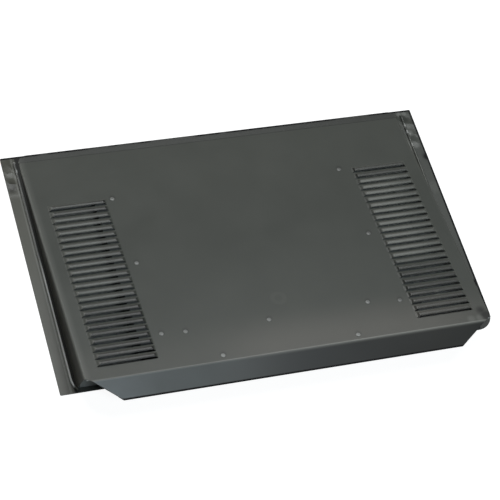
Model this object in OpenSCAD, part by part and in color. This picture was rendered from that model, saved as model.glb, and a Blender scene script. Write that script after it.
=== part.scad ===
// Tapered roof tile vent: a wedge hood with two louvre banks on a flat base flashing.
// Millimetres, +Z up, +Y up the roof slope, origin under the middle of the whole vent. Heights are from the
// base's underside, and distances up the slope are from the base's front edge until a piece is centred.

/* [Sheet] */
// Thickness of the painted steel sheet
sheet_t = 0.7; // [0.5:0.1:1.2]

/* [Base flashing] */
// Width across the roof
base_w = 667; // [560:1:800]
// Length up the slope
base_l = 413; // [360:1:520]
// Radius of the plate's corners
base_corner_r = 2; // [1:0.5:6]
// Radius of the plate's front right corner, which is cut rounder than the others
lap_corner_r = 26; // [8:1:30]
// Distance from the side edge to the water rib's centre line
rib_inset = 19.5; // [12:0.5:22]
// Width of the water rib
rib_w = 2.8; // [2:0.1:3.6]
// Height of the water rib above the plate
rib_h = 5; // [3:0.5:7]
// Length of the rib's front end that curves in towards the hood
rib_turn_l = 22; // [15:1:30]
// Distance from the base's back edge to the rib's back end
rib_back_gap = 8; // [4:0.5:14]
// Length of the rib's back end that slopes down to the plate
rib_slope_l = 6; // [3:0.5:12]

/* [Throat] */
// Width of the air throat cut in the base
throat_w = 410; // [340:1:440]
// Distance from the base's front edge to the throat
throat_front = 22; // [22:1:26]
// Length of the throat up the slope
throat_l = 300; // [290:1:310]
// Radius of the throat's corners
throat_r = 8; // [4:1:14]
// Height of the throat's upturned collar above the plate
collar_h = 7; // [4:0.5:9]

/* [Hood] */
// Distance from the base's side edge to the hood's side wall
hood_inset = 26; // [25:0.5:34]
// Height of the fold between the hood's top and the apron
fold_h = 54.7; // [48:0.1:70]
// Overhang of the fold past the base's front edge
fold_out = 14.3; // [10:0.1:20]
// Outside radius of the fold
fold_r = 2.4; // [1.5:0.1:4]
// Flat strip at the back that lies on the base
back_lap = 12; // [8:1:20]
// Radius of the hood's back corners
back_corner_r = 14; // [8:1:18]
// Outside radius of the bend between the hood's top and its side walls
side_bend_r = 3; // [1.5:0.1:4]
// Distance the side wall's front edge sets back at its foot
wall_foot_back = 17; // [8:1:22]
// Overhang of the side wall's top past the base's front edge
wall_top_out = 9.5; // [4:0.5:12]

/* [Apron] */
// Overhang of the apron's lower edge past the base's front edge
apron_out = 42.2; // [34:0.1:50]
// Height of the apron's lower edge
apron_h = 36.8; // [30:0.1:42]
// Width of the apron's lower edge
apron_w = 510; // [440:1:580]
// Depth of the folded hem along the apron's lower edge
hem_l = 6; // [4:0.5:9]

/* [Louvres] */
// Number of louvres in each bank
louvre_rows = 24; // [12:1:25]
// Spacing of the louvres along the sheet
louvre_pitch = 12.7; // [11.5:0.1:13]
// Length of one louvre with its rounded ends
louvre_l = 89; // [60:1:96]
// Depth of a louvre blade along the sheet, from its lip to its root
blade_d = 10.5; // [8:0.1:10.6]
// Height of the blade's crown above the sheet
blade_rise = 4.6; // [3:0.1:6]
// Distance from the lip to the crown
blade_crown = 4; // [2:0.1:5]
// Depth that the lip droops below the crown
lip_droop = 1.4; // [0.5:0.1:1.8]
// Length of a blade's pressed-down end
blade_end_l = 6; // [4:0.5:10]
// Open slot in front of the lip
blade_gap = 0.8; // [0.5:0.1:0.9]
// Distance from the hood's side to the louvres' outer ends
bank_inset = 22.5; // [16:0.5:40]
// Distance along the sheet from the fold to the first lip
bank_start = 23; // [20:0.5:40]

/* [Baffles] */
// Gap between the throat's collar and a side baffle's web
collar_gap = 8; // [6:0.5:12]
// Width of a side baffle's flange, riveted under the hood along its inner edge
side_flange_w = 42; // [30:1:46]
// Width of the front baffle's flange
front_flange_w = 18; // [14:0.5:20]
// Front end of the side baffles
baffle_front = 37; // [34:1:46]
// Back end of the side baffles
baffle_back = 330; // [300:1:340]
// Air gap between the baffles' lower edges and the base
baffle_clear = 4; // [2:0.5:8]
// Gap between neighbouring inner pieces
fit_gap = 0.3; // [0.2:0.1:1]

/* [Front closure] */
// Distance from the base's front edge to the closure's foot
closure_y = 8; // [6:0.5:12]
// Distance from the base's front edge to the top of the closure's web
closure_head_y = 2; // [0:0.5:6]
// Width of the closure's foot on the base
foot_w = 12; // [8:0.5:12]
// Width of the closure's flange under the fold
closure_flange_w = 14; // [10:0.5:14]

/* [Hidden] */
$fn = 48;
// Overlap that makes cuts run clean through
over = 1;
// Flat steps in the curves of a louvre blade and its ends, and in the round of the fold
crown_steps = 3;
blade_steps = 4;
end_steps = 3;
fold_steps = 6;
paint_grey = "#4b4d49";
shade_grey = "#3c3e3b";

// Middle of the whole vent, from the base's front edge
mid_y = (base_l - apron_out) / 2;
hood_w = base_w - 2 * hood_inset;
// The hood's top face goes from the fold down to the lap on the base
lap_top = 2 * sheet_t;
lap_front = base_l - back_lap;
slope_run = lap_front + fold_out;
slope_deg = atan((fold_h - lap_top) / slope_run);
apron_deg = atan((fold_h - apron_h) / (apron_out - fold_out));
// Outer face of a side baffle's web, and front face of the front baffle's web
baffle_x = throat_w / 2 + collar_gap + 2 * sheet_t;
front_web_y = baffle_front - fit_gap - sheet_t;

// Height of the hood's top face at a distance y from the base's front edge
function top_z(y) = lap_top + (lap_front - y) * tan(slope_deg);
// Height of the hood's under face
function under_z(y) = top_z(y) - sheet_t / cos(slope_deg);
// Points on an arc about a centre, from one angle to another
function arc(c, r, from, to, n) =
    [for (i = [0:n]) let (a = from + (to - from) * i / n) c + r * [cos(a), sin(a)]];

base_flashing();
hood();
left_baffle();
right_baffle();
front_baffle();
front_closure();

// Moves a piece from the base's front edge to the origin
module centred() translate([0, -mid_y, 0]) children();

// Extrudes a side view, drawn in the Y-Z plane, along X
module along_x(from_x, to_x) {
    translate([from_x, 0, 0]) rotate([90, 0, 90]) linear_extrude(to_x - from_x) children();
}

// A rectangle with rounded corners, centred across X, that starts at y = 0
module rounded_rect(w, l, r) {
    for (x = [r - w / 2, w / 2 - r], y = [r, l - r]) translate([x, y]) circle(r);
    translate([r - w / 2, 0]) square([w - 2 * r, l]);
    translate([-w / 2, r]) square([w, l - 2 * r]);
}

// Plate with the throat cut out, the throat's collar and the two water ribs
module base_flashing() color(paint_grey) centred() {
    difference() {
        union() {
            linear_extrude(sheet_t) base_plan();
            translate([0, throat_front - sheet_t, 0]) linear_extrude(sheet_t + collar_h)
                rounded_rect(throat_w + 2 * sheet_t, throat_l + 2 * sheet_t, throat_r + sheet_t);
            water_rib();
            mirror([1, 0, 0]) water_rib();
        }
        translate([0, throat_front, -over]) linear_extrude(sheet_t + collar_h + 2 * over)
            rounded_rect(throat_w, throat_l, throat_r);
    }
}

// Outline of the plate, with its front right corner rounded off
module base_plan() difference() {
    rounded_rect(base_w, base_l, base_corner_r);
    translate([base_w / 2 - lap_corner_r, 0]) difference() {
        translate([0, -over]) square([lap_corner_r + over, lap_corner_r + over]);
        translate([0, lap_corner_r]) circle(lap_corner_r);
    }
}

// Folded rib along the side: its front end curves in to the hood, and its back end slopes to the plate
module water_rib() {
    rib_x = base_w / 2 - rib_inset;
    turn_in = hood_inset - rib_inset;
    turn_l = rib_turn_l - rib_w;
    // Radius of the arc that moves in by turn_in over turn_l, to a tenth of a millimetre
    turn_r = round(10 * (turn_l * turn_l + turn_in * turn_in) / (2 * turn_in)) / 10;
    back_y = base_l - rib_back_gap;
    // The cut's slope starts inside the plate and is drawn on to twice the rib's height
    foot_z = sheet_t / 2;
    cut_top = 2 * (sheet_t + rib_h) - foot_z;
    translate([rib_x - turn_r, rib_turn_l, 0]) mirror([0, 1, 0])
        rotate_extrude(angle = asin(turn_l / turn_r)) translate([turn_r, 0]) rib_section();
    difference() {
        translate([rib_x, back_y, 0]) rotate([90, 0, 0]) linear_extrude(back_y - rib_turn_l) rib_section();
        along_x(rib_x - rib_w, rib_x + rib_w) polygon([
            [back_y, foot_z], [back_y + over, foot_z], [back_y + over, cut_top],
            [back_y - 2 * rib_slope_l, cut_top]
        ]);
    }
}

// Cross-section of the rib, from the middle of the plate to its round top
module rib_section() {
    side_h = sheet_t + rib_h - rib_w / 2;
    translate([-rib_w / 2, sheet_t / 2]) square([rib_w, side_h - sheet_t / 2]);
    translate([0, side_h]) circle(d = rib_w);
}

// Folded sheet with side walls, an apron and two louvre banks
module hood() color(paint_grey) centred() {
    difference() {
        union() {
            hood_channel();
            hood_front();
            translate([0, 0, sheet_t]) linear_extrude(sheet_t) back_lap_plan();
            louvre_banks() blade_rises();
        }
        louvre_banks() blade_hollows();
    }
}

// Top and side walls: a channel bent along the slope, cut to a wedge
module hood_channel() {
    reach = slope_run + 4 * fold_h;
    intersection() {
        translate([0, -fold_out, fold_h]) rotate([-90 - slope_deg, 0, 0]) rotate(180)
            translate([0, 0, -2 * fold_h]) linear_extrude(reach) channel_section();
        along_x(-base_w / 2, base_w / 2) polygon([
            [wall_foot_back - wall_top_out, sheet_t], [-wall_top_out, top_z(-wall_top_out)],
            [-wall_top_out, fold_h + over], [lap_front, fold_h + over], [lap_front, sheet_t]
        ]);
    }
}

// Section across the channel, with its top face at y = 0
module channel_section() {
    depth = 2 * fold_h;
    difference() {
        channel_outline(hood_w / 2, depth, side_bend_r);
        translate([0, -sheet_t]) channel_outline(hood_w / 2 - sheet_t, depth, side_bend_r - sheet_t);
    }
}

// Outline with two rounded top corners
module channel_outline(half_w, depth, r) {
    translate([-half_w, -depth]) square([2 * half_w, depth - r]);
    translate([r - half_w, -depth]) square([2 * (half_w - r), depth]);
    for (s = [-1, 1]) translate([s * (half_w - r), -r]) circle(r);
}

// Front of the top, the fold and the apron, cut to the apron's tapered outline
module hood_front() {
    flat_half = hood_w / 2 - side_bend_r;
    taper = (flat_half - apron_w / 2) / (apron_out - wall_top_out);
    tip_half = apron_w / 2 - taper * over;
    intersection() {
        along_x(-hood_w / 2, hood_w / 2) front_profile();
        linear_extrude(fold_h + over) polygon([
            [flat_half, over - wall_top_out], [flat_half, -wall_top_out], [tip_half, -apron_out - over],
            [-tip_half, -apron_out - over], [-flat_half, -wall_top_out], [-flat_half, over - wall_top_out]
        ]);
    }
}

// Side view of the hood's front: the top's end, the fold, the apron and its folded hem
module front_profile() {
    along = [cos(slope_deg), -sin(slope_deg)];
    inward = [-sin(slope_deg), -cos(slope_deg)];
    down = [-cos(apron_deg), -sin(apron_deg)];
    under = [sin(apron_deg), -cos(apron_deg)];
    bend_back = fold_r * tan((slope_deg + apron_deg) / 2);
    c = [-fold_out, fold_h] + bend_back * along + fold_r * inward;
    tip = [-apron_out, apron_h];
    polygon([
        [0, top_z(0)],
        each arc(c, fold_r, 90 - slope_deg, 90 + apron_deg, fold_steps),
        tip, tip + 2 * sheet_t * under, tip + 2 * sheet_t * under - hem_l * down,
        tip + sheet_t * under - hem_l * down,
        each arc(c, fold_r - sheet_t, 90 + apron_deg, 90 - slope_deg, fold_steps),
        [0, under_z(0)]
    ]);
}

// Plan of the flat strip that lies on the base at the back
module back_lap_plan() intersection() {
    rounded_rect(hood_w, base_l, back_corner_r);
    translate([-base_w / 2, lap_front - sheet_t]) square([base_w, back_lap + over]);
}

// Puts a bank of louvres on each side of the hood's top face, from the first lip back
module louvre_banks() {
    bank_x = hood_w / 2 - bank_inset - louvre_l / 2;
    translate([0, -fold_out, fold_h]) rotate([-slope_deg, 0, 0])
        for (x = [-bank_x, bank_x]) translate([x, bank_start, 0]) children();
}

// Raised blades of one bank, still solid, rooted inside the sheet
module blade_rises() {
    root = -sheet_t / 2;
    intersection() {
        along_x(-louvre_l, louvre_l) polygon([
            for (i = [0:louvre_rows - 1]) each [
                [i * louvre_pitch, root / 2], each blade_curve(i * louvre_pitch, 0),
                [i * louvre_pitch + blade_d, root / 2]
            ],
            [louvre_rows * louvre_pitch, root / 2], [louvre_rows * louvre_pitch, root],
            [-blade_gap, root], [-blade_gap, root / 2]
        ]);
        blade_ends(0, root);
    }
}

// Spaces under the blades of one bank, with the open slots in front of their lips
module blade_hollows() {
    root = -1.5 * sheet_t;
    deep = -3 * sheet_t;
    lip_under = blade_rise - lip_droop - sheet_t;
    run_out = sheet_t / 2 / drawn_end_slope(blade_d - blade_crown, blade_steps);
    intersection() {
        along_x(-louvre_l, louvre_l) polygon([
            for (i = [0:louvre_rows - 1]) each [
                [i * louvre_pitch - blade_gap, root], [i * louvre_pitch - blade_gap, lip_under],
                each blade_curve(i * louvre_pitch, -sheet_t), [i * louvre_pitch + blade_d + run_out, root]
            ],
            [louvre_rows * louvre_pitch, root], [louvre_rows * louvre_pitch, deep],
            [-2 * blade_gap, deep], [-2 * blade_gap, root]
        ]);
        blade_ends(-sheet_t, deep);
    }
}

// Front view of a blade with its ends pressed down to the sheet, run back along the bank
module blade_ends(z, root) {
    half = louvre_l / 2;
    run_out = (-root + z) / drawn_end_slope(blade_end_l, end_steps);
    side = drawn([half - blade_end_l, z], blade_end_l, end_steps);
    tip = z < 0 ? [half + run_out, root] : [half, root];
    translate([0, -louvre_pitch, 0]) rotate([90, 0, 180]) linear_extrude((louvre_rows + 2) * louvre_pitch)
        polygon([
            each side, tip, [-tip[0], tip[1]], for (i = [len(side) - 1:-1:0]) [-side[i][0], side[i][1]]
        ]);
}

// Side view of a blade: its lip droops in front of the crown, and its back runs down to the sheet
function blade_curve(y, z) = [
    for (i = [0:crown_steps - 1]) let (u = i / crown_steps)
        [y + u * blade_crown, z + blade_rise - lip_droop * (1 - u) * (1 - u)],
    each drawn([y + blade_crown, z], blade_d - blade_crown, blade_steps)
];
// Drawn curve of a blade's back and ends: flat at its top, level again where it meets the sheet
function drawn(from, run, n) =
    [for (i = [0:n]) from + [run * i / n, blade_rise * (1 + cos(180 * i / n)) / 2]];
// Steepness of the curve's last step
function drawn_end_slope(run, n) = blade_rise * (1 - cos(180 / n)) / 2 / (run / n);

// Angle under the hood that keeps rain off the throat, on its right-hand side
module side_baffle() {
    along_x(baffle_x - side_flange_w, baffle_x) polygon([
        [baffle_front, under_z(baffle_front)], [baffle_back, under_z(baffle_back)],
        [baffle_back, under_z(baffle_back) - sheet_t], [baffle_front, under_z(baffle_front) - sheet_t]
    ]);
    along_x(baffle_x - sheet_t, baffle_x) polygon([
        [baffle_front, under_z(baffle_front)], [baffle_back, under_z(baffle_back)],
        [baffle_back, sheet_t + baffle_clear], [baffle_front, sheet_t + baffle_clear]
    ]);
}

module right_baffle() color(shade_grey) centred() side_baffle();
module left_baffle() color(shade_grey) centred() mirror([1, 0, 0]) side_baffle();

// Angle across the throat's front: its web covers the side baffles' ends, its flange lies between theirs
module front_baffle() color(shade_grey) centred() {
    flange_half = baffle_x - side_flange_w - fit_gap;
    back_y = front_web_y + front_flange_w;
    web_back = front_web_y + sheet_t;
    along_x(-baffle_x, baffle_x) polygon([
        [front_web_y, under_z(front_web_y)], [web_back, under_z(web_back)],
        [web_back, sheet_t + baffle_clear], [front_web_y, sheet_t + baffle_clear]
    ]);
    along_x(-flange_half, flange_half) polygon([
        [front_web_y, under_z(front_web_y)], [back_y, under_z(back_y)],
        [back_y, under_z(back_y) - sheet_t], [front_web_y, under_z(front_web_y) - sheet_t]
    ]);
}

// Strip that closes the front between the base and the fold, with a foot and a top flange
module front_closure() color(shade_grey) centred() {
    half_w = hood_w / 2 - side_bend_r - fit_gap;
    flange_y = closure_head_y - closure_flange_w;
    head_back = closure_head_y + sheet_t;
    along_x(-half_w, half_w) polygon([
        [closure_y + foot_w, sheet_t], [closure_y, sheet_t],
        [closure_head_y, under_z(closure_head_y) - sheet_t], [flange_y, under_z(flange_y) - sheet_t],
        [flange_y, under_z(flange_y)], [head_back, under_z(head_back)],
        [closure_y + sheet_t, 2 * sheet_t], [closure_y + foot_w, 2 * sheet_t]
    ]);
}
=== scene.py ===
"""Looks of a tapered roof tile vent: paint, rivets, camera and studio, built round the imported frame.

Metres in the row frame: +X across the roof, +Y up the slope, +Z up. Sizes written in MM are turned to metres.
"""

import math

import bpy
import numpy as np
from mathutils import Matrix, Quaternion, Vector


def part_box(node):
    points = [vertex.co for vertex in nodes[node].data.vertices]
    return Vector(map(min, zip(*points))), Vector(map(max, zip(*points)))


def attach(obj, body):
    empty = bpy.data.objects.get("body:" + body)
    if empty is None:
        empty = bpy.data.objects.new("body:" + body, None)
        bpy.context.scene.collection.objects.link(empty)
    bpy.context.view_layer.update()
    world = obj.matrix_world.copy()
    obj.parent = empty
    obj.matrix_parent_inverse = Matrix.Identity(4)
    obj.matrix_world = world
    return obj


MM = 0.001

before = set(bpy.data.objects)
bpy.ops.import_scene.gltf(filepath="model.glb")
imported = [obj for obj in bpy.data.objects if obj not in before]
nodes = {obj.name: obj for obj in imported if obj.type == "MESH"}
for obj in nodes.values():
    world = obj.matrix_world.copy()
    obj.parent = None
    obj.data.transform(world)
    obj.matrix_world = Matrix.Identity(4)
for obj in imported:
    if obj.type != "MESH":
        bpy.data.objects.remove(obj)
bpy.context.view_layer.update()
base_low, base_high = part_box("base_flashing")
hood_low, hood_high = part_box("hood")


def linear(hex_colour):
    """Linear RGBA of an sRGB hex colour: below 0.04045 divided by 12.92, above it a 2.4 power curve."""
    channels = [int(hex_colour[i : i + 2], 16) / 255 for i in (1, 3, 5)]
    return [c / 12.92 if c <= 0.04045 else ((c + 0.055) / 1.055) ** 2.4 for c in channels] + [1.0]


def add_node(tree, kind, settings=None, **inputs):
    """Adds a node. Settings are its own properties, and inputs are values or sockets to link, by socket name."""
    node = tree.nodes.new(kind)
    for name, value in (settings or {}).items():
        setattr(node, name, value)
    for name, value in inputs.items():
        key = int(name[1:]) if name[0] == "i" and name[1:].isdigit() else name.replace("_", " ")
        if isinstance(value, bpy.types.NodeSocket):
            tree.links.new(value, node.inputs[key])
        else:
            node.inputs[key].default_value = value
    return node


# Camera, at the photograph's viewing angle
CAMERA_AT = Vector((-0.85476, -1.44535, 2.37316))
CAMERA_AIM = Vector((0.00141, 0.0084, 0.0))
CAMERA_ROLL = math.radians(17.716)
CAMERA_LENS = 140.14


def make_camera():
    data = bpy.data.cameras.new("camera")
    data.sensor_width, data.lens = 36.0, CAMERA_LENS
    data.clip_start, data.clip_end = 0.1, 60.0
    camera = bpy.data.objects.new("camera", data)
    camera.rotation_mode = "QUATERNION"
    camera.location = CAMERA_AT
    look = (CAMERA_AIM - CAMERA_AT).to_track_quat("-Z", "Y")
    camera.rotation_quaternion = look @ Quaternion((0, 0, 1), CAMERA_ROLL)
    bpy.context.scene.collection.objects.link(camera)
    bpy.context.scene.camera = camera


# Studio: a dim room with softboxes overhead, behind and in front
ROOM_GREY = "#46484a"
# Share of the white background that satin reflections see; all of it would turn dark paint milky
GLOSSY_SHARE = 0.06
# Each softbox has a name, a place, a size in metres, a power in watts and a colour
SOFTBOXES = [
    ("overhead_softbox", (0.35, 0.3, 1.9), (1.4, 0.6), 15.5, "#fcffff"),
    ("back_right_softbox", (0.65, 0.9, 1.9), (0.8, 0.6), 6.0, "#fcffff"),
    ("back_left_softbox", (-0.75, 1.4, 1.9), (0.8, 0.8), 15.0, "#fdfffc"),
    ("front_softbox", (0.05, -1.5, 1.9), (0.5, 0.6), 13.0, "#e2f3ff"),
]
PAPER_GREY = "#8f8f8e"
PAPER_GLOW = 0.92


def background_share(tree):
    """Share of the white background that a ray sees: camera, plus a part of glossy, plus transmission."""
    path = add_node(tree, "ShaderNodeLightPath")
    share = add_node(
        tree, "ShaderNodeMath", {"operation": "MULTIPLY_ADD"},
        i0=path.outputs["Is Glossy Ray"], i1=GLOSSY_SHARE, i2=path.outputs["Is Camera Ray"],
    )
    return add_node(
        tree, "ShaderNodeMath", {"operation": "ADD", "use_clamp": True},
        i0=share.outputs[0], i1=path.outputs["Is Transmission Ray"],
    ).outputs[0]


def area_lamp(name, at, size, power, colour):
    data = bpy.data.lights.new(name, "AREA")
    data.shape, data.size, data.size_y = "RECTANGLE", size[0], size[1]
    data.energy, data.color = power, linear(colour)[:3]
    lamp = bpy.data.objects.new(name, data)
    lamp.location = at
    lamp.rotation_mode = "QUATERNION"
    lamp.rotation_quaternion = (-Vector(at)).to_track_quat("-Z", "Y")
    bpy.context.scene.collection.objects.link(lamp)


def make_studio():
    scene = bpy.context.scene
    scene.view_settings.view_transform = "Standard"
    world = bpy.data.worlds.new("studio_room")
    world.use_nodes = True
    tree = world.node_tree
    tree.nodes.clear()
    room = add_node(tree, "ShaderNodeBackground", Color=linear(ROOM_GREY), Strength=1.0)
    white = add_node(tree, "ShaderNodeBackground", Color=(1, 1, 1, 1), Strength=1.0)
    seen = add_node(tree, "ShaderNodeMixShader", i0=background_share(tree), i1=room.outputs[0], i2=white.outputs[0])
    add_node(tree, "ShaderNodeOutputWorld", Surface=seen.outputs[0])
    scene.world = world
    for name, at, size, power, colour in SOFTBOXES:
        area_lamp(name, at, size, power, colour)


def make_floor():
    """A flat square sheet of paper. A glow that rays of the background see lifts it to white.

    The glow stops under the vent, so that nothing shines up through the throat and the louvres.
    """
    half = 20.0
    mesh = bpy.data.meshes.new("studio_floor")
    corners = [(-half, -half, 0), (half, -half, 0), (half, half, 0), (-half, half, 0)]
    mesh.from_pydata(corners, [], [(0, 1, 2, 3)])
    floor = bpy.data.objects.new("studio_floor", mesh)
    floor.location.z = -0.5 * MM
    bpy.context.scene.collection.objects.link(floor)
    material = bpy.data.materials.new("white_paper")
    material.use_nodes = True
    tree = material.node_tree
    tree.nodes.clear()
    place = add_node(tree, "ShaderNodeTexCoord").outputs["Object"]
    off = add_node(tree, "ShaderNodeVectorMath", {"operation": "ABSOLUTE"}, i0=place)
    axes = add_node(tree, "ShaderNodeSeparateXYZ", i0=off.outputs[0])
    inset = 20 * MM
    past_x = add_node(
        tree, "ShaderNodeMath", {"operation": "GREATER_THAN"}, i0=axes.outputs["X"], i1=base_high[0] - inset)
    past_y = add_node(
        tree, "ShaderNodeMath", {"operation": "GREATER_THAN"}, i0=axes.outputs["Y"], i1=-base_low[1] - inset)
    outside = add_node(
        tree, "ShaderNodeMath", {"operation": "MAXIMUM"}, i0=past_x.outputs[0], i1=past_y.outputs[0])
    lit = add_node(
        tree, "ShaderNodeMath", {"operation": "MULTIPLY"}, i0=outside.outputs[0], i1=background_share(tree))
    strength = add_node(tree, "ShaderNodeMath", {"operation": "MULTIPLY"}, i0=lit.outputs[0], i1=PAPER_GLOW)
    glow = add_node(tree, "ShaderNodeEmission", Color=(1, 1, 1, 1), Strength=strength.outputs[0])
    paper = add_node(tree, "ShaderNodeBsdfDiffuse", Color=linear(PAPER_GREY))
    both = add_node(tree, "ShaderNodeAddShader", i0=paper.outputs[0], i1=glow.outputs[0])
    add_node(tree, "ShaderNodeOutputMaterial", Surface=both.outputs[0])
    mesh.materials.append(material)


# Blind rivets, as their heads lie on the hood: X across and Y up the slope, in millimetres
RIVETS_MM = [
    (-186, 121.6), (-182, -5.4), (-181, -137.4),
    (176.5, 122.6), (179, -9.9), (182, -141.4),
    (-146, -139.8), (-21, -140.9), (133, -136.0),
    (-105, -190.4), (99, -190.9),
]
HEAD_R, HEAD_H, HEAD_RIM = 3.2 * MM, 1.1 * MM, 0.3 * MM
HOLE_R, HOLE_DEPTH = 0.95 * MM, 0.5 * MM
SHANK_R, GRIP = 1.6 * MM, 1.4 * MM
TAIL_R, TAIL_L = 2.3 * MM, 3.5 * MM
RIVET_SIDES = 32


def rivet_profile():
    """Half section of a blind rivet, from the bottom of the mandrel's hole out over the head and down to the tail.

    The head is a flat dome, one minus the radius squared. The tail is a half ellipse below the two sheets.
    """
    dome_r = np.linspace(HOLE_R, HEAD_R, 7)
    dome_h = HEAD_RIM + (HEAD_H - HEAD_RIM) * (1 - (dome_r / HEAD_R) ** 2)
    turn = np.linspace(0.0, np.pi / 2, 8)[1:-1]
    radius = np.concatenate([[HOLE_R], dome_r, [HEAD_R, SHANK_R, SHANK_R, TAIL_R], TAIL_R * np.cos(turn)])
    height = np.concatenate([[dome_h[0] - HOLE_DEPTH], dome_h, [0, 0, -GRIP, -GRIP - 0.4 * MM],
                             -GRIP - 0.4 * MM - TAIL_L * np.sin(turn)])
    return radius, height, dome_h[0] - HOLE_DEPTH, -GRIP - 0.4 * MM - TAIL_L


def make_rivets(material):
    """Each rivet is its half section turned round the hood's normal, where a ray from above meets the hood."""
    radius, height, hole_z, tail_z = rivet_profile()
    angle = np.arange(RIVET_SIDES) * 2 * np.pi / RIVET_SIDES
    rings, sides = len(radius), RIVET_SIDES
    ring_points = np.stack([
        radius[:, None] * np.cos(angle), radius[:, None] * np.sin(angle), np.repeat(height[:, None], sides, 1),
    ], axis=-1).reshape(-1, 3)
    points = np.concatenate([ring_points, [[0, 0, hole_z], [0, 0, tail_z]]])
    ring, side = np.meshgrid(np.arange(rings - 1), np.arange(sides), indexing="ij")
    following = (side + 1) % sides
    quads = np.stack([
        ring * sides + side, (ring + 1) * sides + side, (ring + 1) * sides + following, ring * sides + following,
    ], axis=-1).reshape(-1, 4)
    around, ahead = np.arange(sides), (np.arange(sides) + 1) % sides
    top, bottom, last = rings * sides, rings * sides + 1, (rings - 1) * sides
    hole_floor = np.stack([np.full(sides, top), around, ahead], axis=-1)
    tail_end = np.stack([last + around, np.full(sides, bottom), last + ahead], axis=-1)

    all_points, all_faces = [], []
    for number, (x, y) in enumerate(RIVETS_MM):
        found, seat, normal, _ = nodes["hood"].ray_cast(Vector((x * MM, y * MM, 1.0)), Vector((0, 0, -1)))
        assert found, "a rivet misses the hood"
        up = np.array(normal)
        across = np.array([1.0, 0.0, 0.0])
        along = np.cross(up, across)
        all_points.append(np.array(seat) + points @ np.stack([across, along, up]))
        shift = number * len(points)
        all_faces += (quads + shift).tolist() + (hole_floor + shift).tolist() + (tail_end + shift).tolist()
    mesh = bpy.data.meshes.new("blind_rivets")
    mesh.from_pydata(np.concatenate(all_points).tolist(), [], all_faces)
    mesh.polygons.foreach_set("use_smooth", np.ones(len(mesh.polygons), dtype=bool))
    mesh.set_sharp_from_angle(angle=math.radians(40))
    mesh.materials.append(material)
    rivets = bpy.data.objects.new("blind_rivets", mesh)
    bpy.context.scene.collection.objects.link(rivets)
    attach(rivets, "root")


def combine(tree, operation, values):
    """One value from several, two at a time."""
    result = values[0]
    for value in values[1:]:
        result = add_node(tree, "ShaderNodeMath", {"operation": operation}, i0=result, i1=value).outputs[0]
    return result


def overlap(tree, *masks):
    """The masks' product: where all of them lie."""
    return combine(tree, "MULTIPLY", masks)


def either(tree, *masks):
    """The largest of the masks: where any of them lies."""
    return combine(tree, "MAXIMUM", masks)


def fade(tree, value, full, none):
    """1 where a value reaches full, falling smoothly to 0 at none; full may lie above none or below it."""
    return add_node(
        tree, "ShaderNodeMapRange", {"interpolation_type": "SMOOTHSTEP"},
        Value=value, From_Min=full, From_Max=none, To_Min=1.0, To_Max=0.0,
    ).outputs[0]


def spot(tree, place, centre_mm, full_mm, none_mm):
    """1 within a distance of a point, falling smoothly to 0 at a larger one."""
    centre = [c * MM for c in centre_mm]
    away = add_node(tree, "ShaderNodeVectorMath", {"operation": "DISTANCE"}, i0=place, i1=centre)
    return fade(tree, away.outputs["Value"], full_mm * MM, none_mm * MM)


def band(tree, value, middle_mm, half_mm, edge_mm):
    """1 within half of a middle value, falling smoothly to 0 over the edge."""
    off = add_node(tree, "ShaderNodeMath", {"operation": "SUBTRACT"}, i0=value, i1=middle_mm * MM)
    size = add_node(tree, "ShaderNodeMath", {"operation": "ABSOLUTE"}, i0=off.outputs[0])
    return fade(tree, size.outputs[0], half_mm * MM, (half_mm + edge_mm) * MM)


def layer(tree, under, colour, mask, amount):
    """Lays a colour over another by a mask, at most by the amount."""
    mixed = add_node(tree, "ShaderNodeMix", {"data_type": "RGBA"}, Factor=overlap(tree, mask, amount), A=under)
    mixed.inputs["B"].default_value = linear(colour)
    return mixed.outputs["Result"]


def waves(tree, place, stretch, period_mm, depth_mm, normal):
    """Slow unevenness of thin sheet: noise of a period, stretched along the axes, as a bump of a depth."""
    scaled = add_node(tree, "ShaderNodeVectorMath", {"operation": "MULTIPLY"}, i0=place, i1=stretch)
    noise = add_node(tree, "ShaderNodeTexNoise", Vector=scaled.outputs[0], Scale=1 / (period_mm * MM), Detail=1.0)
    return add_node(
        tree, "ShaderNodeBump", Strength=1.0, Distance=depth_mm * MM, Height=noise.outputs["Fac"], Normal=normal,
    ).outputs[0]


def start_paint(name, light, dark):
    """New material with the paint's mottled colour, the place on the piece and the sheet's rounded folds."""
    material = bpy.data.materials.new(name)
    material.use_nodes = True
    tree = material.node_tree
    tree.nodes.clear()
    place = add_node(tree, "ShaderNodeTexCoord").outputs["Object"]
    mottle = add_node(tree, "ShaderNodeTexNoise", Vector=place, Scale=1 / (45 * MM), Detail=4.0)
    colour = add_node(tree, "ShaderNodeMix", {"data_type": "RGBA"}, Factor=mottle.outputs["Fac"])
    colour.inputs["A"].default_value = linear(dark)
    colour.inputs["B"].default_value = linear(light)
    folds = add_node(tree, "ShaderNodeBevel", {"samples": 6}, Radius=0.8 * MM)
    return material, tree, place, colour.outputs["Result"], folds.outputs[0]


def marks(tree, place, under, colour, amount, spots):
    """Soft round marks of one colour. Each has a centre, and the radii where it is full and where it ends."""
    return layer(tree, under, colour, either(tree, *(spot(tree, place, *mark) for mark in spots)), amount)


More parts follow.
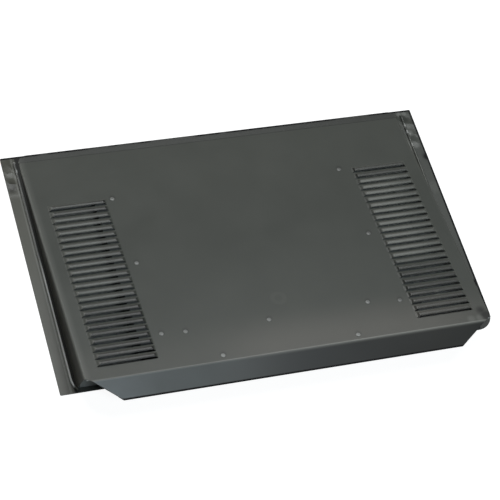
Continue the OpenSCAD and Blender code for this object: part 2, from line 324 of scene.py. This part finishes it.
def finish_paint(tree, place, colour, normal, roughness, dull=None):
    """Satin coat: fine orange peel, uneven roughness from handling, and no gloss where a mask makes it dull, as on the
    painted shadows and shade.
    """
    peel = add_node(tree, "ShaderNodeTexNoise", Vector=place, Scale=1 / (1.6 * MM), Detail=2.0)
    bump = add_node(
        tree, "ShaderNodeBump", Strength=0.2, Distance=0.05 * MM, Height=peel.outputs["Fac"], Normal=normal)
    wiped = add_node(tree, "ShaderNodeTexNoise", Vector=place, Scale=1 / (60 * MM), Detail=3.0)
    rough = add_node(
        tree, "ShaderNodeMapRange", Value=wiped.outputs["Fac"],
        From_Min=0.3, From_Max=0.7, To_Min=roughness - 0.03, To_Max=roughness + 0.03,
    ).outputs[0]
    if dull is not None:
        rough = either(tree, rough, dull)
    paint = add_node(
        tree, "ShaderNodeBsdfPrincipled", Base_Color=colour, Roughness=rough, Normal=bump.outputs[0], IOR=1.5)
    add_node(tree, "ShaderNodeOutputMaterial", Surface=paint.outputs[0])


# Paint's own tones, what time and handling leave on it, and the tones painted as shade, shadow, light and highlight
PAINT_LIGHT, PAINT_DARK, PRIMER = "#42443f", "#3c3e3a", "#a6a8a4"
# The near-black tones stand for dirt with painted shade, and for painted shadow; the pale ones for wear with painted
# highlight, and for painted glints and light
GRIME_AND_SHADE, PAINTED_SHADOW, FILM, WEAR_AND_HIGHLIGHT, PAINTED_GLINT = "#0b0a09", "#050505", "#4f4d46", "#85857f", "#c8c8c4"
PAINTED_SHEEN, EARTH, PAINTED_SLOT_LIGHT = "#8f8780", "#47453a", "#f0f0ee"
OUTER_ROUGHNESS = 0.38
# The hood's top rises by this much for each metre down the slope
TOP_RISE = (hood_high[2] - 1.4 * MM) / (0.4153)
RIB_X_MM, GROOVE_X_MM, FOLD_Y_MM = 314, 309.9, -199.8


def edge_shadow_line(tree, y, back_edge, noise):
    """A thin uneven painted shadow line along the back edge."""
    line = fade(tree, y, back_edge - 2.4 * MM, back_edge - 4.0 * MM)
    uneven = fade(tree, noise, 0.52, 0.36)
    return overlap(tree, line, uneven)


def flashing_paint():
    """Polyester paint on galvanised steel, lying flat: it mirrors the light softly, wavy and knocked at corners."""
    material, tree, place, colour, normal = start_paint("baked_polyester_on_flashing", PAINT_LIGHT, PAINT_DARK)
    axes = add_node(tree, "ShaderNodeSeparateXYZ", i0=place)
    x, y, z = (axes.outputs[name] for name in "XYZ")
    across = add_node(tree, "ShaderNodeMath", {"operation": "ABSOLUTE"}, i0=x).outputs[0]
    # Under the hood the top face has only its pale primer
    covered = overlap(tree, fade(tree, across, hood_high[0] - 4 * MM, hood_high[0] - 2 * MM),
                    fade(tree, z, 0.45 * MM, 0.25 * MM))
    covered = overlap(tree, covered, fade(tree, y, base_low[1] + 14 * MM, base_low[1] + 10 * MM))
    covered = overlap(tree, covered, fade(tree, y, hood_high[1] - 16 * MM, hood_high[1] - 13 * MM))
    colour = layer(tree, colour, PRIMER, covered, 1.0)
    # Painted light lifts the shade seen through the slots there, in front and at the right-hand end
    slot_light_mask = either(tree, overlap(tree, fade(tree, y, -90 * MM, -50 * MM), 0.25), fade(tree, x, 297 * MM, 283 * MM))
    colour = layer(tree, colour, PAINTED_SLOT_LIGHT, overlap(tree, covered, slot_light_mask), 1.0)
    # Earth dust on the left-hand margin
    colour = layer(tree, colour, EARTH, fade(tree, x, -318 * MM, -300 * MM), 0.55)
    # Pale patches painted as highlights on the creased flange, dark ones as the creases' shade, and the flange a little
    # darker towards the front
    colour = marks(tree, place, colour, WEAR_AND_HIGHLIGHT, 0.10, [
        ((-323, 199.5, 0.7), 3, 13), ((326, 76, 0.7), 5, 16), ((325, 186, 0.7), 4, 14)])
    colour = marks(tree, place, colour, GRIME_AND_SHADE, 0.30, [((319, 211, 0.7), 3, 9)])
    colour = marks(tree, place, colour, GRIME_AND_SHADE, 0.60, [((-327, 173, 0.7), 4, 14)])
    colour = layer(tree, colour, GRIME_AND_SHADE, fade(tree, y, -120 * MM, 20 * MM), 0.12)
    # Painted highlight along the left-hand rib's outer fold, painted light on the flange beside it over the rib's
    # shadow, and painted shade on the rib's crest at the back
    above_plate = fade(tree, z, 1.6 * MM, 0.8 * MM)
    rib_highlight = overlap(tree, band(tree, x, -(RIB_X_MM + 0.4), 2.0, 0.8), above_plate)
    colour = layer(tree, colour, PAINTED_GLINT, rib_highlight, 0.68)
    colour = layer(tree, colour, PAINTED_GLINT, overlap(tree, rib_highlight, fade(tree, y, -150 * MM, -60 * MM)), 0.8)
    colour = layer(tree, colour, WEAR_AND_HIGHLIGHT, band(tree, x, -(RIB_X_MM + 3.3), 1.2, 0.8), 0.3)
    back_crest_shade = overlap(tree, band(tree, x, -(RIB_X_MM - 1.2), 1.7, 0.7), above_plate, fade(tree, y, 50 * MM, 0))
    colour = layer(tree, colour, GRIME_AND_SHADE, back_crest_shade, 0.85)
    # Painted light over the shade in the gap between the hood and the right-hand rib
    right_groove_light = overlap(tree, band(tree, x, RIB_X_MM - 3, 2.4, 0.8), band(tree, y, 130, 30, 25))
    colour = layer(tree, colour, WEAR_AND_HIGHLIGHT, right_groove_light, 0.35)
    # Painted glints where the right-hand rib is crushed, at the left-hand rib's back end, and on the flange by the back
    # right corner
    colour = marks(tree, place, colour, PAINTED_GLINT, 0.45, [
        ((RIB_X_MM, 195.7, 4.5), 1, 5), ((RIB_X_MM, 183.1, 4.5), 1, 5), ((RIB_X_MM + 1, 157.5, 4.5), 1, 5),
        ((-RIB_X_MM, 214.5, 3.5), 1, 4), ((-RIB_X_MM, 198, 5.5), 1, 4)])
    colour = marks(tree, place, colour, PAINTED_GLINT, 0.14, [
        ((313, 220.5, 0.7), 2, 6), ((321, 221.5, 0.7), 2, 6), ((319, 196, 1.5), 2, 8), ((319, 183, 1.5), 2, 8),
        ((321, 159, 1.5), 2, 9)])
    # Painted shade in the groove on the left of the hood, and painted shadow round the hood's back corner
    gap = either(tree, band(tree, x, -GROOVE_X_MM, 2.2, 0.8),
                 overlap(tree, band(tree, x, -301, 9, 2), fade(tree, y, 214 * MM, 209 * MM)))
    groove = overlap(tree, gap, fade(tree, z, 1.4 * MM, 2.0 * MM))
    # Painted shadow as a black line along the right and back edges, wider at two places on the right, and painted shade
    # on the front right corner under the hood
    speckle = add_node(tree, "ShaderNodeTexNoise", Vector=place, Scale=1 / (50 * MM), Detail=2.0).outputs["Fac"]
    edge_shadows = either(tree, fade(tree, x, base_high[0] - 2.4 * MM, base_high[0] - 4.0 * MM),
                   edge_shadow_line(tree, y, base_high[1], speckle))
    for wide_shadow_y in (134.6, -105.0):
        edge_shadows = either(tree, edge_shadows, spot(tree, place, (base_high[0] / MM, wide_shadow_y, 0.4), 4, 12))
    corner = overlap(tree, fade(tree, x, 312 * MM, 300 * MM), fade(tree, y, -166 * MM, -150 * MM))
    painted_shade = either(tree, overlap(tree, groove, 0.85), edge_shadows, overlap(tree, corner, 0.45))
    colour = layer(tree, colour, PAINTED_SHADOW, painted_shade, 0.95)
    normal = waves(tree, place, (1.0, 0.6, 1.0), 70, 0.5, normal)
    # Creases left by handling, at the back right corner and the back left one
    creased = either(tree, spot(tree, place, (321, 195, 0.7), 18, 45), spot(tree, place, (-325, 190, 0.7), 14, 40))
    facets = add_node(tree, "ShaderNodeTexVoronoi", Vector=place, Scale=1 / (16 * MM))
    height = overlap(tree, creased, facets.outputs["Distance"])
    creases = add_node(tree, "ShaderNodeBump", Strength=1.0, Distance=2.4 * MM, Height=height, Normal=normal)
    finish_paint(tree, place, colour, creases.outputs[0], OUTER_ROUGHNESS, overlap(tree, painted_shade, 0.95))
    return material


def hood_paint():
    """Polyester paint on galvanised steel, folded and pressed: satin, with painted highlights on its folds and crowns,
    painted shade, and soft dirt marks.
    """
    material, tree, place, colour, normal = start_paint("baked_polyester_on_hood", PAINT_LIGHT, PAINT_DARK)
    axes = add_node(tree, "ShaderNodeSeparateXYZ", i0=place)
    x, y = axes.outputs["X"], axes.outputs["Y"]
    across = add_node(tree, "ShaderNodeMath", {"operation": "ABSOLUTE"}, i0=x).outputs[0]
    climb = add_node(tree, "ShaderNodeVectorMath", {"operation": "DOT_PRODUCT"}, i0=place, i1=(0, TOP_RISE, 1))
    level = 1.4 * MM + TOP_RISE * (hood_high[1] - 13 * MM)
    # Dusty film on the side walls; the left wall is painted lighter along its top fold as a painted highlight, at its
    # foot as painted light over the groove's shade, round one spot and towards its back end
    walls = fade(tree, across, hood_high[0] - 0.6 * MM, hood_high[0] - 2.3 * MM)
    colour = layer(tree, colour, FILM, walls, 0.85)
    left_wall = fade(tree, x, hood_low[0] + 0.6 * MM, hood_low[0] + 2.3 * MM)
    low_end = fade(tree, y, 100 * MM, -20 * MM)
    top_edge = fade(tree, climb.outputs["Value"], level - 3 * MM, level - 10 * MM)
    foot = fade(tree, axes.outputs["Z"], 3 * MM, 15 * MM)
    wall_light = either(tree, top_edge, low_end, foot, spot(tree, place, (-307.5, 45, 8), 8, 28))
    colour = layer(tree, colour, WEAR_AND_HIGHLIGHT, overlap(tree, left_wall, wall_light), 0.52)
    colour = layer(tree, colour, WEAR_AND_HIGHLIGHT, overlap(tree, left_wall, fade(tree, y, 60 * MM, 10 * MM)), 0.4)
    # Painted highlight on the top along both side folds, stronger on the left
    above_walls = fade(tree, climb.outputs["Value"], level - 2 * MM, level - 6 * MM)
    left_fold = overlap(tree, above_walls, fade(tree, x, hood_low[0] + 2 * MM, hood_low[0] + 12 * MM))
    right_fold = overlap(tree, above_walls, fade(tree, x, hood_high[0] - 1 * MM, hood_high[0] - 6 * MM))
    colour = layer(tree, colour, WEAR_AND_HIGHLIGHT, left_fold, 0.2)
    colour = layer(tree, colour, WEAR_AND_HIGHLIGHT, right_fold, 0.08)
    # The louvres' crowns carry painted highlight, most of all on the right, and painted shade at both ends of a bank,
    # at the left bank's front and beside its inner end
    crowns = fade(tree, climb.outputs["Value"], level + 2.2 * MM, level + 0.8 * MM)
    shaded_crown_ends = either(tree, fade(tree, y, -92 * MM, -66 * MM), fade(tree, y, 104 * MM, 88 * MM))
    colour = layer(tree, colour, GRIME_AND_SHADE, overlap(tree, crowns, shaded_crown_ends), 0.52)
    left_front = overlap(tree, fade(tree, y, -92 * MM, -66 * MM), fade(tree, x, -190 * MM, -180 * MM))
    colour = layer(tree, colour, GRIME_AND_SHADE, overlap(tree, crowns, left_front), 0.25)
    colour = layer(tree, colour, GRIME_AND_SHADE, overlap(tree, crowns, band(tree, x, -212, 10, 9)), 0.7)
    crown_highlight = overlap(tree, crowns, fade(tree, y, -56 * MM, -82 * MM), fade(tree, y, 88 * MM, 102 * MM))
    right_bank = overlap(tree, fade(tree, x, 200 * MM, 180 * MM), fade(tree, x, 232 * MM, 276 * MM))
    colour = layer(tree, colour, WEAR_AND_HIGHLIGHT, crown_highlight, 0.13)
    colour = layer(tree, colour, WEAR_AND_HIGHLIGHT, overlap(tree, crown_highlight, right_bank), 0.33)
    # Painted light over the shade on the blades' backs and on the banks' outer ends
    facing = add_node(tree, "ShaderNodeSeparateXYZ", i0=add_node(tree, "ShaderNodeNewGeometry").outputs["Normal"])
    blade_backs = fade(tree, facing.outputs["Y"], 0.45, 0.2)
    colour = layer(tree, colour, WEAR_AND_HIGHLIGHT, blade_backs, 0.2)
    left_ends = overlap(tree, band(tree, x, -283, 4, 1.5), fade(tree, facing.outputs["X"], -0.3, -0.1))
    right_ends = overlap(tree, band(tree, x, 283, 4, 1.5), fade(tree, facing.outputs["X"], 0.3, 0.1))
    colour = layer(tree, colour, WEAR_AND_HIGHLIGHT, left_ends, 0.3)
    colour = layer(tree, colour, WEAR_AND_HIGHLIGHT, overlap(tree, left_ends, crowns), 0.6)
    colour = layer(tree, colour, WEAR_AND_HIGHLIGHT, right_ends, 0.25)
    # Painted shade on the louvres' inner ends
    inner_ends = overlap(tree, band(tree, x, 199, 3.5, 1), fade(tree, facing.outputs["X"], -0.3, -0.1))
    colour = layer(tree, colour, GRIME_AND_SHADE, inner_ends, 0.3)
    # Painted highlight on the front fold and on the top behind it, and the top a little lighter towards its low back
    # end
    fold_y = FOLD_Y_MM * MM
    colour = layer(tree, colour, PAINTED_SHEEN, fade(tree, y, fold_y + 12 * MM, fold_y + 75 * MM), 0.05)
    behind_fold = overlap(tree, fade(tree, y, fold_y + 12 * MM, fold_y + 85 * MM), band(tree, x, 95, 110, 140))
    colour = layer(tree, colour, PAINTED_SHEEN, behind_fold, 0.14)
    colour = layer(tree, colour, WEAR_AND_HIGHLIGHT, fade(tree, y, 170 * MM, 20 * MM), 0.06)
    front_fold = band(tree, y, FOLD_Y_MM, 0.7, 1.3)
    colour = layer(tree, colour, WEAR_AND_HIGHLIGHT, front_fold, 0.3)
    colour = layer(tree, colour, WEAR_AND_HIGHLIGHT, overlap(tree, front_fold, fade(tree, x, 200 * MM, -100 * MM)), 0.35)
    # Painted shade on the apron, darker towards the right, copying its fading reflection
    apron = overlap(tree, fade(tree, y, fold_y - 4 * MM, fold_y - 1 * MM), fade(tree, x, 30 * MM, -150 * MM))
    colour = layer(tree, colour, GRIME_AND_SHADE, apron, 0.64)
    # Painted shade on the band where the top runs level at the back, evening out its change in reflection
    colour = layer(tree, colour, GRIME_AND_SHADE, fade(tree, y, hood_high[1] - 12 * MM, hood_high[1] - 14 * MM), 0.5)
    # A dark soft spot just up the slope of each rivet
    halos = []
    for rivet_x, rivet_y in RIVETS_MM:
        seat = nodes["hood"].ray_cast(Vector((rivet_x * MM, rivet_y * MM, 1.0)), Vector((0, 0, -1)))[1]
        halos.append(((rivet_x + 0.8, rivet_y + 2.6, seat.z / MM), 2.0, 7.0))
    colour = marks(tree, place, colour, GRIME_AND_SHADE, 0.3, halos)
    # A wiped ring, a speck on the right-hand louvres, and a dent at the front right corner painted as shade and
    # highlight on its facets
    ring = add_node(
        tree, "ShaderNodeVectorMath", {"operation": "DISTANCE"}, i0=place, i1=[c * MM for c in (4.8, -105.2, 42.6)])
    colour = layer(tree, colour, WEAR_AND_HIGHLIGHT, band(tree, ring.outputs["Value"], 9, 1.5, 3), 0.04)
    colour = marks(tree, place, colour, WEAR_AND_HIGHLIGHT, 0.3, [((241.6, -139.2, 48.5), 1.5, 5)])
    colour = marks(tree, place, colour, GRIME_AND_SHADE, 0.75, [((300, -191, 54), 4, 12), ((296, -181, 52.7), 1, 11)])
    colour = marks(tree, place, colour, WEAR_AND_HIGHLIGHT, 0.25, [((289, -194, 54), 2, 8), ((276, -194, 54), 2, 9)])
    # The sheet's reverse has only its pale backing coat, on the walls' inner faces too
    reverse = either(
        tree, fade(tree, facing.outputs["Z"], -0.15, -0.05),
        overlap(tree, fade(tree, x, 304 * MM, 300 * MM), fade(tree, facing.outputs["X"], -0.5, -0.3)),
        overlap(tree, fade(tree, x, -304 * MM, -300 * MM), fade(tree, facing.outputs["X"], 0.5, 0.3)))
    colour = layer(tree, colour, PRIMER, reverse, 1.0)
    # Painted light over the shade inside the right-hand end
    colour = layer(tree, colour, PAINTED_SLOT_LIGHT, overlap(tree, reverse, fade(tree, x, 282 * MM, 272 * MM)), 1.0)
    # Painted shadow as dark lines at the apron's hem and along the back
    speckle = add_node(tree, "ShaderNodeTexNoise", Vector=place, Scale=1 / (50 * MM), Detail=2.0).outputs["Fac"]
    edge_shadows = either(tree, fade(tree, y, hood_low[1] + 1.6 * MM, hood_low[1] + 3.0 * MM),
                   edge_shadow_line(tree, y, hood_high[1], speckle))
    colour = layer(tree, colour, PAINTED_SHADOW, edge_shadows, 0.95)
    normal = waves(tree, place, (1.0, 0.35, 1.0), 110, 0.35, normal)
    finish_paint(tree, place, colour, normal, OUTER_ROUGHNESS, overlap(tree, edge_shadows, 0.95))
    return material


def inner_paint():
    """Pale primer on the sheets inside, never top-coated: even and dull, so it lifts the light in the slots."""
    material, tree, place, colour, normal = start_paint("primer_inside_the_hood", PRIMER, "#9c9e9a")
    # Painted shade on the flanges under the louvres' inner ends
    axes = add_node(tree, "ShaderNodeSeparateXYZ", i0=place)
    across = add_node(tree, "ShaderNodeMath", {"operation": "ABSOLUTE"}, i0=axes.outputs["X"]).outputs[0]
    flanges = overlap(tree, fade(tree, across, 197 * MM, 194 * MM), fade(tree, axes.outputs["Y"], -150 * MM, -155 * MM))
    colour = layer(tree, colour, GRIME_AND_SHADE, flanges, 0.6)
    finish_paint(tree, place, colour, normal, 0.5)
    return material


def rivet_lacquer():
    """Lacquered aluminium blind rivets, dulled by weather: a paler grey than the sheet, with a soft glint."""
    material = bpy.data.materials.new("lacquered_rivet")
    material.use_nodes = True
    tree = material.node_tree
    tree.nodes.clear()
    place = add_node(tree, "ShaderNodeTexCoord").outputs["Object"]
    bloom = add_node(tree, "ShaderNodeTexNoise", Vector=place, Scale=1 / (2 * MM), Detail=2.0)
    colour = add_node(tree, "ShaderNodeMix", {"data_type": "RGBA"}, Factor=bloom.outputs["Fac"])
    colour.inputs["A"].default_value = linear("#636361")
    colour.inputs["B"].default_value = linear("#71716e")
    axes = add_node(tree, "ShaderNodeSeparateXYZ", i0=place)
    # Rivets on the right and at the front are painted paler, as painted highlight for their brighter glints
    glint_tone = layer(tree, colour.outputs["Result"], PAINTED_GLINT, fade(tree, axes.outputs["X"], 140 * MM, 170 * MM), 0.13)
    glint_tone = layer(tree, glint_tone, PAINTED_GLINT, fade(tree, axes.outputs["Y"], -180 * MM, -150 * MM), 0.18)
    bump = add_node(tree, "ShaderNodeBump", Strength=0.3, Distance=0.05 * MM, Height=bloom.outputs["Fac"])
    lacquer = add_node(
        tree, "ShaderNodeBsdfPrincipled", Base_Color=glint_tone, Roughness=0.38,
        Normal=bump.outputs[0], IOR=1.5,
    )
    add_node(tree, "ShaderNodeOutputMaterial", Surface=lacquer.outputs[0])
    return material


make_camera()
make_studio()
make_floor()
finishes = {"base_flashing": flashing_paint(), "hood": hood_paint()}
inside = inner_paint()
for name, node in nodes.items():
    node.data.materials.clear()
    node.data.materials.append(finishes.get(name, inside))
make_rivets(rivet_lacquer())

bpy.context.view_layer.update()
